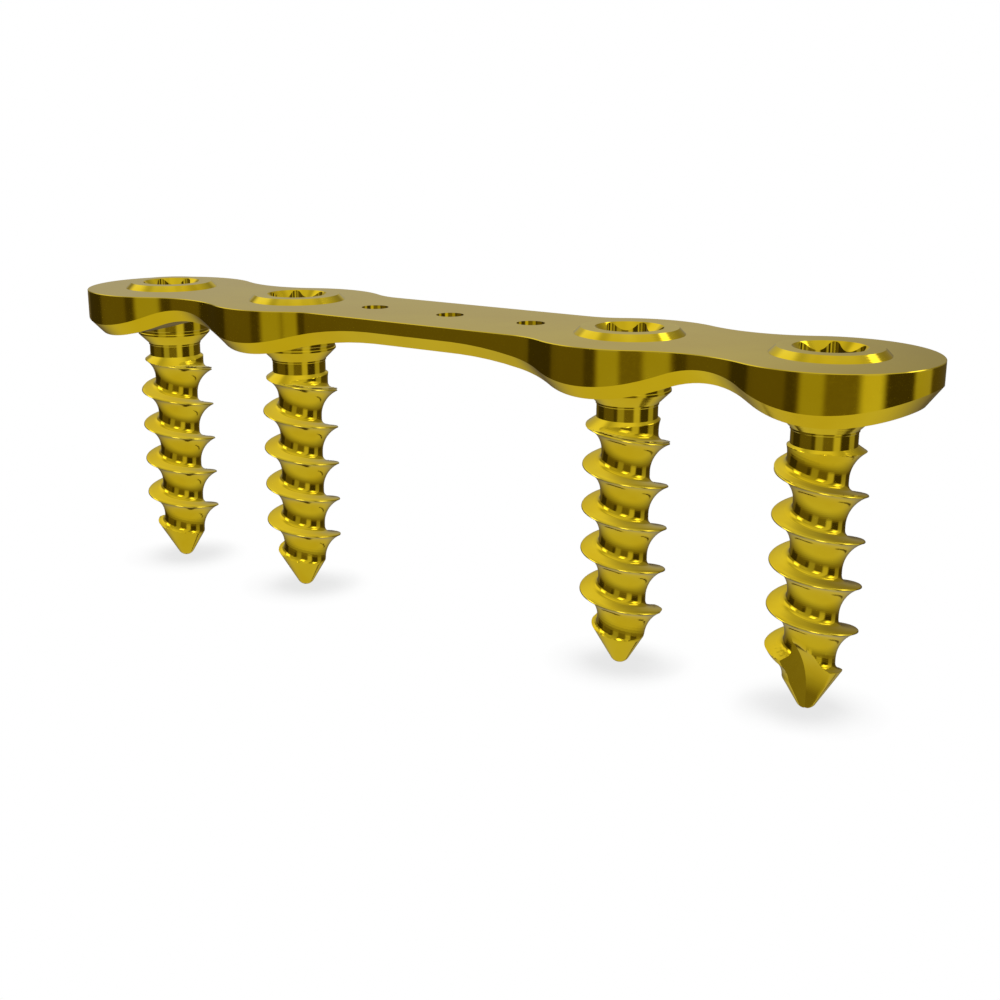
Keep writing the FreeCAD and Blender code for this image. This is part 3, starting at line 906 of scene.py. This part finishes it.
def makeDome(sizes):
    # The studio as a ball round the object, at the cosine of the elevation times the sine and cosine
    # of the azimuth, and the sine of the elevation.
    rows, columns = int(180 / sizes["domeStep"]) + 1, int(360 / sizes["domeStep"]) + 1
    tilts, turns = np.linspace(-90, 90, rows), np.linspace(0, 360, columns)
    elevation, azimuth = np.meshgrid(tilts, turns, indexing="ij")
    up, turn = np.radians(elevation), np.radians(azimuth)
    points = np.stack([np.cos(up) * np.sin(turn), np.cos(up) * np.cos(turn), np.sin(up)], -1)
    points = points.reshape(-1, 3) * sizes["domeRadius"] * millimetre
    mesh = bpy.data.meshes.new("studioDome")
    mesh.from_pydata(points.tolist(), [], gridFaces(rows, columns).tolist())
    light = mesh.attributes.new("light", "FLOAT", "POINT")
    light.data.foreach_set("value", lightLevel(azimuth, elevation, sizes).ravel())
    dome = bpy.data.objects.new("studioDome", mesh)
    bpy.context.scene.collection.objects.link(dome)
    mesh.materials.append(makeGlow(sizes))


def makeFloor(sizes):
    # A pale floor that is white where nothing stands near and a little grey close under the tips, and
    # clear from below, to show the underside.
    corners = sizes["floorHalf"] * np.array([[-1, -1, 0], [1, -1, 0], [1, 1, 0], [-1, 1, 0]])
    mesh = bpy.data.meshes.new("floor")
    points = (corners - [0, 0, sizes["floorDown"]]) * millimetre
    mesh.from_pydata(points.tolist(), [], [(0, 1, 2, 3)])
    floor = bpy.data.objects.new("floor", mesh)
    bpy.context.scene.collection.objects.link(floor)
    pale = bpy.data.materials.new("paleFloor")
    pale.use_nodes = True
    tree = pale.node_tree
    tree.nodes.clear()
    reach = sizes["shadowReach"] * millimetre
    near = addNode(tree, "ShaderNodeAmbientOcclusion", [("Distance", reach)])
    level = addNode(
        tree, "ShaderNodeMapRange",
        zip(("From Min", "From Max", "To Min", "To Max"), sizes["shadowRange"]),
        [("Value", near.outputs["AO"])],
    )
    shine = addNode(tree, "ShaderNodeEmission", [], [("Strength", level.outputs["Result"])])
    below = tree.nodes.new("ShaderNodeNewGeometry").outputs["Backfacing"]
    clear = tree.nodes.new("ShaderNodeBsdfTransparent")
    sides = [(0, below), (1, shine.outputs[0]), (2, clear.outputs[0])]
    side = addNode(tree, "ShaderNodeMixShader", [], sides)
    addNode(tree, "ShaderNodeOutputMaterial", [], [("Surface", side.outputs[0])])
    pale.cycles.emission_sampling = "NONE"
    mesh.materials.append(pale)
    floor.visible_glossy = False  # the metal mirrors the studio's own pale floor light instead


makeCamera(studioSizes)
film = makeFilm()
pieces = [makePlate(makeGold("platePolish", film))] + makeScrews(makeGold("screwPolish", film))
for piece in pieces:
    piece.visible_glossy = False  # the polished metal mirrors the studio alone
makeDome(lightSizes)
makeFloor(studioSizes)
bpy.context.scene.view_settings.view_transform = "Standard"
print("studio made")
